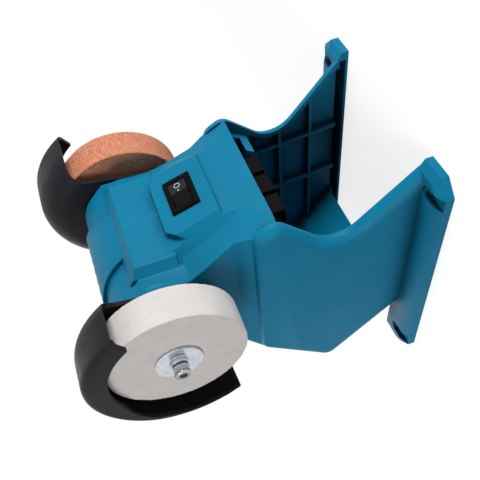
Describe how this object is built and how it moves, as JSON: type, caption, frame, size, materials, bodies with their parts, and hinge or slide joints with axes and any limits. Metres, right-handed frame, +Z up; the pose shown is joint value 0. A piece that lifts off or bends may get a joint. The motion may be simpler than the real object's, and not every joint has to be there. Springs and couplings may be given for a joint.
{
  "type": "cordless mini bench grinder",
  "caption": "Cordless mini bench grinder with a grinding wheel and a felt polishing wheel on one motor spindle, half guards, a rocker switch and splayed legs over an empty battery bay.",
  "frame": {"origin": "bottom centre of the overall box, on the plane the feet stand on", "axes": "+X along the spindle towards the grinding wheel, -Y towards the switch at the front, +Z up"},
  "size_m": [0.157, 0.1618, 0.1948],
  "materials": {
    "housing_plastic": "satin",
    "guard_plastic": "satin",
    "black_plastic": "satin",
    "rocker_plastic": "semi-gloss",
    "motor_steel": "zinc plated",
    "bright_steel": "ground",
    "dark_screw": "blackened",
    "zinc_washer": "zinc plated",
    "hub_aluminium": "turned",
    "contact_brass": "plain",
    "winding_copper": "enamelled",
    "magnet_ferrite": "sintered",
    "carbon": "pressed",
    "grinding_stone": "gritty",
    "polishing_felt": "felted",
    "wire_red": "satin",
    "wire_black": "satin"
  },
  "bodies": {
    "housing": {"housing_left": "housing_plastic", "housing_right": "housing_plastic", "housing_screws": "dark_screw", "wheel_guard_left": "guard_plastic", "wheel_guard_right": "guard_plastic", "guard_screws": "dark_screw", "motor_can": "motor_steel", "motor_end_bell": "motor_steel", "motor_brush_cap": "black_plastic", "motor_terminals": "contact_brass", "motor_magnets": "magnet_ferrite", "carbon_brushes": "carbon", "brush_springs": "bright_steel", "bearing_outer_rings": "bright_steel", "bearing_balls": "bright_steel", "switch_body": "black_plastic", "switch_terminals": "contact_brass", "battery_terminal_block": "black_plastic", "battery_contacts": "contact_brass", "supply_wire_red": "wire_red", "supply_wire_black": "wire_black", "motor_wire_red": "wire_red"},
    "spindle": {"spindle_shaft": "bright_steel", "rotor_core": "motor_steel", "rotor_windings": "winding_copper", "commutator": "winding_copper", "wheel_hub_left": "hub_aluminium", "wheel_hub_right": "hub_aluminium", "hub_set_screws": "dark_screw", "polishing_wheel": "polishing_felt", "grinding_wheel": "grinding_stone", "clamp_washers": "zinc_washer", "lock_washers": "zinc_washer", "spindle_screws": "bright_steel", "bearing_inner_rings": "bright_steel"},
    "rocker": {"switch_rocker": "rocker_plastic"}
  },
  "joints": [
    {"name": "spindle_spin", "type": "hinge", "parent": "housing", "child": "spindle", "pos_m": [0, -0.01485, 0.145], "axis": [1, 0, 0], "continuous": true},
    {"name": "switch_rock", "type": "hinge", "parent": "housing", "child": "rocker", "pos_m": [0, -0.05613, 0.11664], "axis": [0, 0.3057, 0.9521], "range_deg": [0, 18]}
  ]
}
